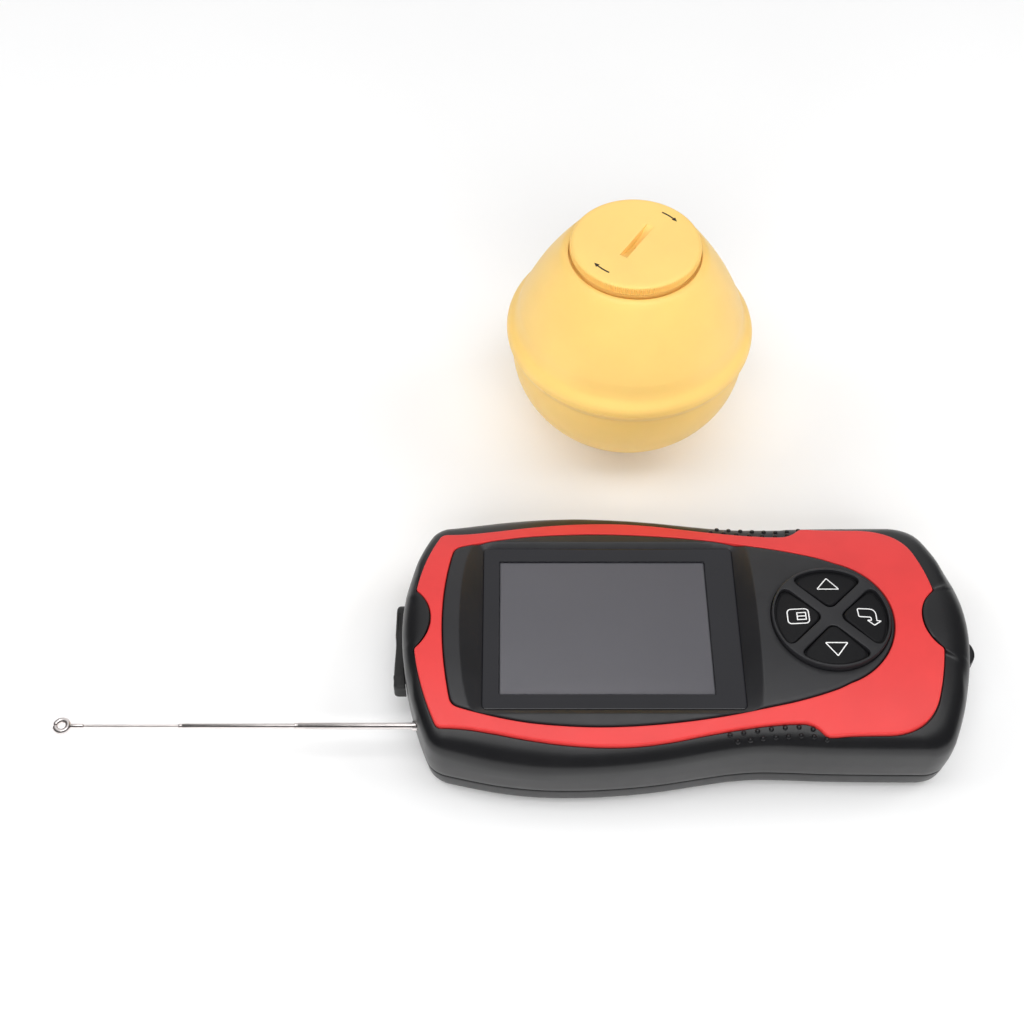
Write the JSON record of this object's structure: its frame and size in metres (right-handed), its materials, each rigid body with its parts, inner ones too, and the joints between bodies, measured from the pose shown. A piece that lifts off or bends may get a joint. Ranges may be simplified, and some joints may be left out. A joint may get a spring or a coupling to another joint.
{
  "type": "fish finder",
  "caption": "Handheld wireless fish finder: a contoured handset with a colour screen, round keypad and telescopic aerial, and a round sonar float with a screw cap.",
  "frame": {"origin": "a point near the middle of the handset's flat back, where it rests on the table", "axes": "+X from the aerial end to the keypad end, +Y across the handset towards the float, +Z out of the screen"},
  "size_m": [0.217, 0.1558, 0.0612],
  "materials": {
    "case_black": "satin moulded plastic",
    "face_red": "fine matt texture",
    "panel_grey": "fine matt texture",
    "screen_glass": "clear with a printed border",
    "display_grey": "unlit display",
    "key_black": "soft satin rubber",
    "membrane": "silicone",
    "seal_rubber": "matt rubber",
    "screw_steel": "plated",
    "aerial_steel": "polished",
    "board_green": "solder mask",
    "chip_black": "moulded",
    "shield_can": "plain",
    "flex_amber": "film",
    "cell_jacket": "printed can",
    "coin_cell_can": "plain can",
    "contact_metal": "plated",
    "float_yellow": "smooth matt",
    "piezo": "ceramic",
    "potting": "cast resin",
    "ballast_steel": "plain"
  },
  "bodies": {
    "handset": {"back_case": "case_black", "upper_case": "case_black", "case_gasket": "seal_rubber", "case_screws": "screw_steel", "face_ring": "face_red", "screen_bezel": "panel_grey", "screen_lens": "screen_glass", "lcd_module": "display_grey", "display_flex": "flex_amber", "main_board": "board_green", "board_chips": "chip_black", "radio_module": "shield_can", "buzzer": "chip_black", "key_membrane": "membrane", "battery_cell_1": "cell_jacket", "battery_cell_2": "cell_jacket", "battery_cell_3": "cell_jacket", "battery_cell_4": "cell_jacket", "battery_contacts": "contact_metal", "port_jack": "chip_black", "cover_strap": "seal_rubber", "aerial_base": "aerial_steel", "aerial_clip": "contact_metal"},
    "key_up": {"key_up": "key_black"},
    "key_down": {"key_down": "key_black"},
    "key_menu": {"key_menu": "key_black"},
    "key_enter": {"key_enter": "key_black"},
    "aerial_1": {"aerial_tube_1": "aerial_steel"},
    "aerial_2": {"aerial_tube_2": "aerial_steel"},
    "aerial_3": {"aerial_rod": "aerial_steel", "aerial_tip": "aerial_steel"},
    "port_cover": {"port_cover": "seal_rubber"},
    "battery_door": {"battery_door": "case_black"},
    "sonar_float": {"float_upper_shell": "float_yellow", "float_lower_shell": "float_yellow", "float_cell": "coin_cell_can", "cell_holder": "chip_black", "cell_contacts": "contact_metal", "float_board": "board_green", "float_aerial": "contact_metal", "transducer": "piezo", "transducer_potting": "potting", "ballast_ring": "ballast_steel", "water_contacts": "aerial_steel"},
    "seal": {"cap_seal": "seal_rubber"},
    "cap": {"float_cap": "float_yellow"}
  },
  "joints": [
    {"name": "key_up_press", "type": "slide", "parent": "handset", "child": "key_up", "axis": [0, 0, -1], "range_m": [0, 0.0006], "stiffness_N_per_m": 2500},
    {"name": "key_down_press", "type": "slide", "parent": "handset", "child": "key_down", "axis": [0, 0, -1], "range_m": [0, 0.0006], "stiffness_N_per_m": 2500},
    {"name": "key_menu_press", "type": "slide", "parent": "handset", "child": "key_menu", "axis": [0, 0, -1], "range_m": [0, 0.0006], "stiffness_N_per_m": 2500},
    {"name": "key_enter_press", "type": "slide", "parent": "handset", "child": "key_enter", "axis": [0, 0, -1], "range_m": [0, 0.0006], "stiffness_N_per_m": 2500},
    {"name": "aerial_1_slide", "type": "slide", "parent": "handset", "child": "aerial_1", "axis": [1, 0, 0], "range_m": [0, 0.027]},
    {"name": "aerial_2_slide", "type": "slide", "parent": "aerial_1", "child": "aerial_2", "axis": [1, 0, 0], "range_m": [0, 0.0264]},
    {"name": "aerial_3_slide", "type": "slide", "parent": "aerial_2", "child": "aerial_3", "axis": [1, 0, 0], "range_m": [0, 0.0216]},
    {"name": "port_cover_flex", "type": "hinge", "parent": "handset", "child": "port_cover", "pos_m": [-0.0661, 0.0021, 0.0095], "axis": [0, 0, -1], "range_deg": [0, 90], "stiffness_Nm_per_rad": 0.002},
    {"name": "battery_door_slide", "type": "slide", "parent": "handset", "child": "battery_door", "axis": [1, 0, 0], "range_m": [0, 0.062]},
    {"name": "float_lift", "type": "slide", "parent": "handset", "child": "sonar_float", "axis": [0, 0, 1], "range_m": [0, 0.15]},
    {"name": "seal_lift", "type": "slide", "parent": "sonar_float", "child": "seal", "axis": [0, 0, 1], "range_m": [0, 0.0041]},
    {"name": "cap_turn", "type": "hinge", "parent": "seal", "child": "cap", "pos_m": [-0.0084, 0.088, 0.0584], "axis": [0, 0, 1], "range_deg": [0, 720]}
  ],
  "couplings": [
    {"joint": "seal_lift", "follows": "cap_turn", "m_per_rad": 0.00031831}
  ]
}
